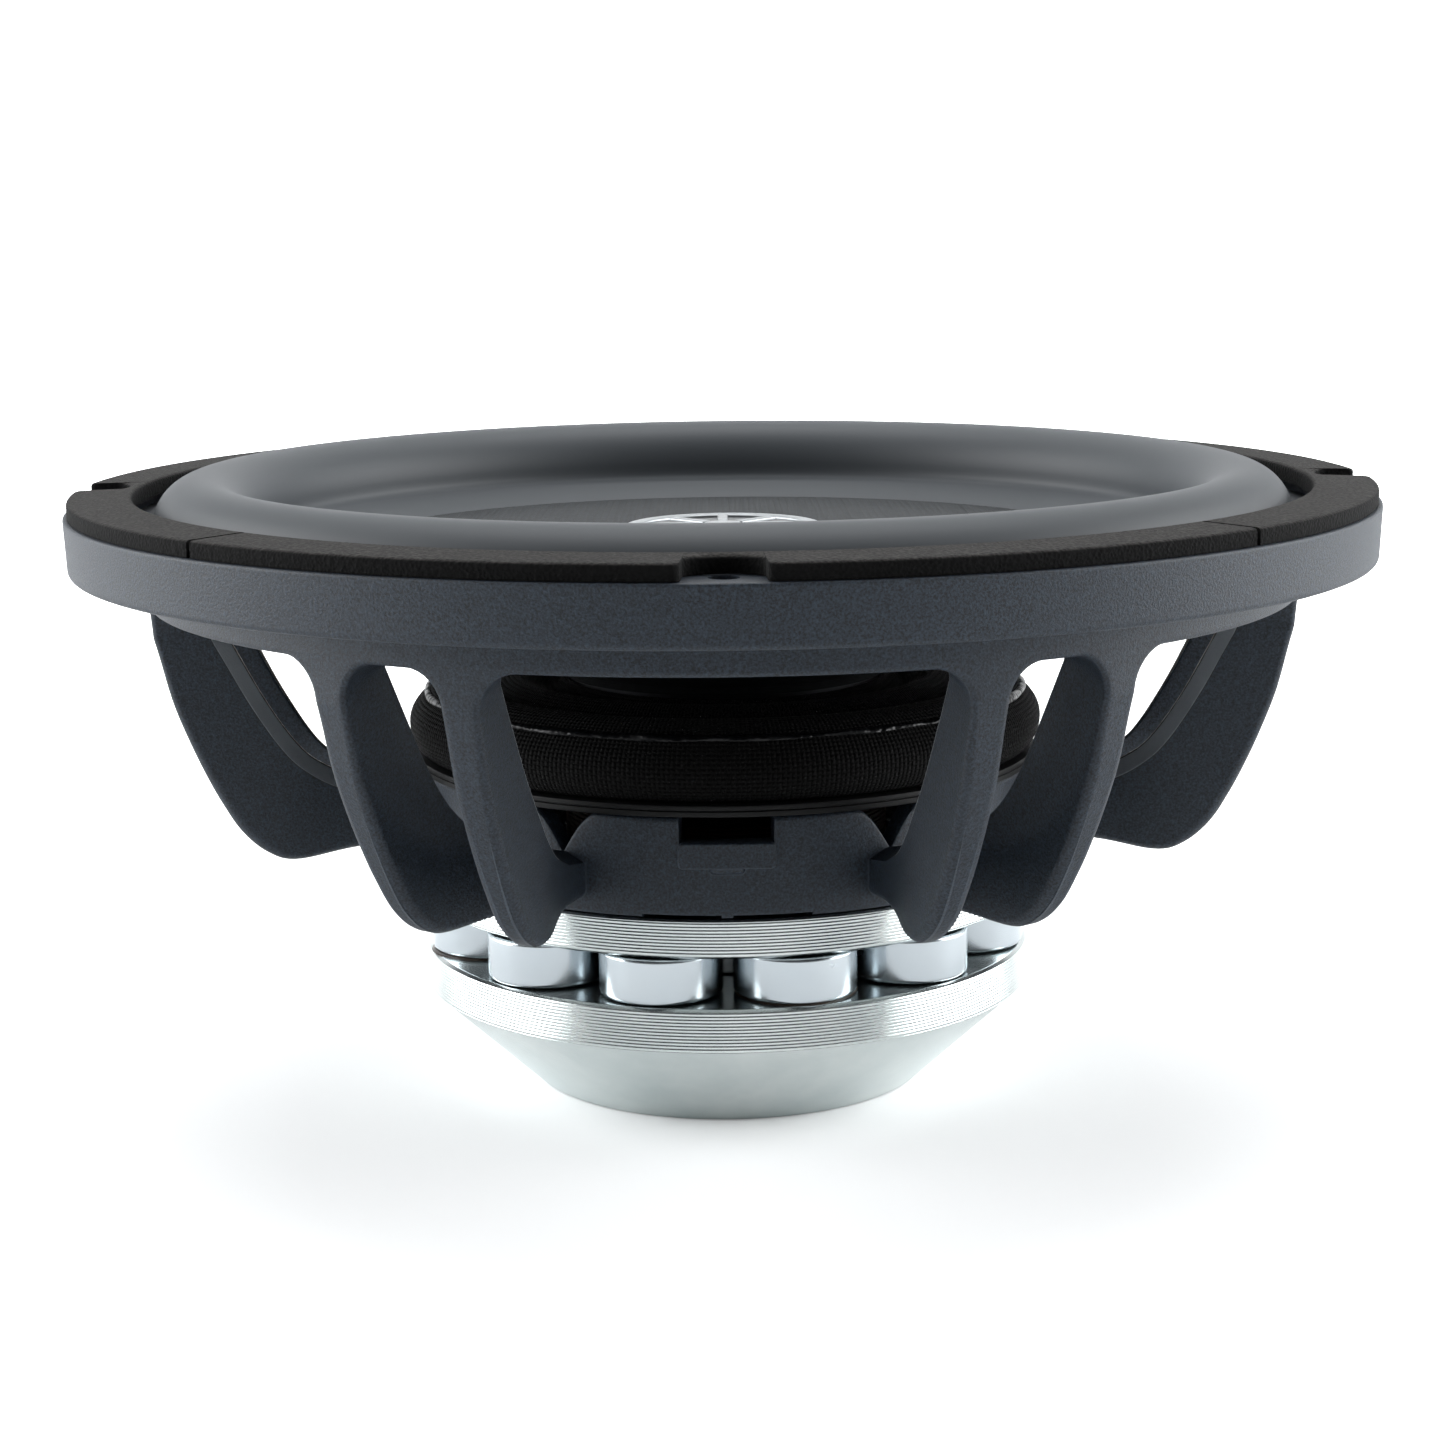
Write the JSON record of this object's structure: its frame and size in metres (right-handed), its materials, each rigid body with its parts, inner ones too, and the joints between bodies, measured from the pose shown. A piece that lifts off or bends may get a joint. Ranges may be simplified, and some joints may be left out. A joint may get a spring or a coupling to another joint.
{
  "type": "car subwoofer speaker",
  "caption": "Round car subwoofer driver with a cast basket on paired legs, a rubber surround, a domed cap and a magnet ring between two turned plates.",
  "frame": {"origin": "on the driver's axis at the bottom face of the back plate, which it stands on", "axes": "+Z is the driver's axis, towards the cone; -Y is the front, where the hub's rim has its notch; the terminal panel is at the back"},
  "size_m": [0.274, 0.274, 0.1313],
  "materials": {
    "powder_coat": "fine-textured slate grey powder coat on cast aluminium, satin",
    "zinc_plate": "zinc-plated turned steel, bright satin with fine turning rings",
    "nickel_plate": "nickel-plated neodymium, polished",
    "aluminium": "machined aluminium",
    "black_mesh": "fine black mesh",
    "black_aluminium": "black anodised aluminium foil",
    "copper": "enamelled copper wire, glossy",
    "black_plastic": "moulded black plastic, satin",
    "red_plastic": "moulded red plastic, satin gloss",
    "woven_spider": "coarse black woven cloth stiffened with resin",
    "paper_cone": "pressed black paper pulp",
    "woven_cap": "fine woven grey fibre cloth, satin",
    "adhesive": "black rubbery glue",
    "badge_black": "black lacquer",
    "badge_chrome": "bright chrome",
    "surround_rubber": "satin dark grey butyl rubber",
    "gasket_foam": "open-cell black foam, matt",
    "brass": "bright brass",
    "screw_steel": "zinc-plated screw steel",
    "lead_wire": "braided copper lead"
  },
  "bodies": {
    "frame": {"basket": "powder_coat", "back_plate": "zinc_plate", "magnet_01": "nickel_plate", "magnet_02": "nickel_plate", "magnet_03": "nickel_plate", "magnet_04": "nickel_plate", "magnet_05": "nickel_plate", "magnet_06": "nickel_plate", "magnet_07": "nickel_plate", "magnet_08": "nickel_plate", "magnet_09": "nickel_plate", "magnet_10": "nickel_plate", "magnet_11": "nickel_plate", "magnet_12": "nickel_plate", "shorting_ring": "aluminium", "top_plate": "zinc_plate", "motor_screw_1": "screw_steel", "motor_screw_2": "screw_steel", "motor_screw_3": "screw_steel", "motor_screw_4": "screw_steel", "motor_screw_5": "screw_steel", "motor_screw_6": "screw_steel", "vent_screen": "black_mesh", "spider_ring": "black_plastic", "spider": "woven_spider", "surround": "surround_rubber", "gasket_front": "gasket_foam", "gasket_right": "gasket_foam", "gasket_back": "gasket_foam", "gasket_left": "gasket_foam", "terminal_block": "black_plastic", "terminal_tab_red": "brass", "terminal_tab_black": "brass", "terminal_screw_red": "screw_steel", "terminal_screw_black": "screw_steel", "lead_red": "lead_wire", "lead_black": "lead_wire"},
    "diaphragm": {"cone": "paper_cone", "dust_cap": "woven_cap", "cap_adhesive": "adhesive", "badge_disc": "badge_black", "badge_ring": "badge_chrome", "badge_star": "badge_chrome", "coil_former": "black_aluminium", "coil_winding": "copper"},
    "button_red": {"terminal_button_red": "red_plastic"},
    "button_black": {"terminal_button_black": "black_plastic"}
  },
  "joints": [
    {"name": "cone_travel", "type": "slide", "parent": "frame", "child": "diaphragm", "axis": [0, 0, 1], "range_m": [-0.012, 0.012], "stiffness_N_per_m": 3200, "deforming": ["surround", "spider", "lead_red", "lead_black"]},
    {"name": "press_red", "type": "slide", "parent": "frame", "child": "button_red", "axis": [0, -1, 0], "range_m": [0, 0.003], "stiffness_N_per_m": 300},
    {"name": "press_black", "type": "slide", "parent": "frame", "child": "button_black", "axis": [0, -1, 0], "range_m": [0, 0.003], "stiffness_N_per_m": 300}
  ]
}
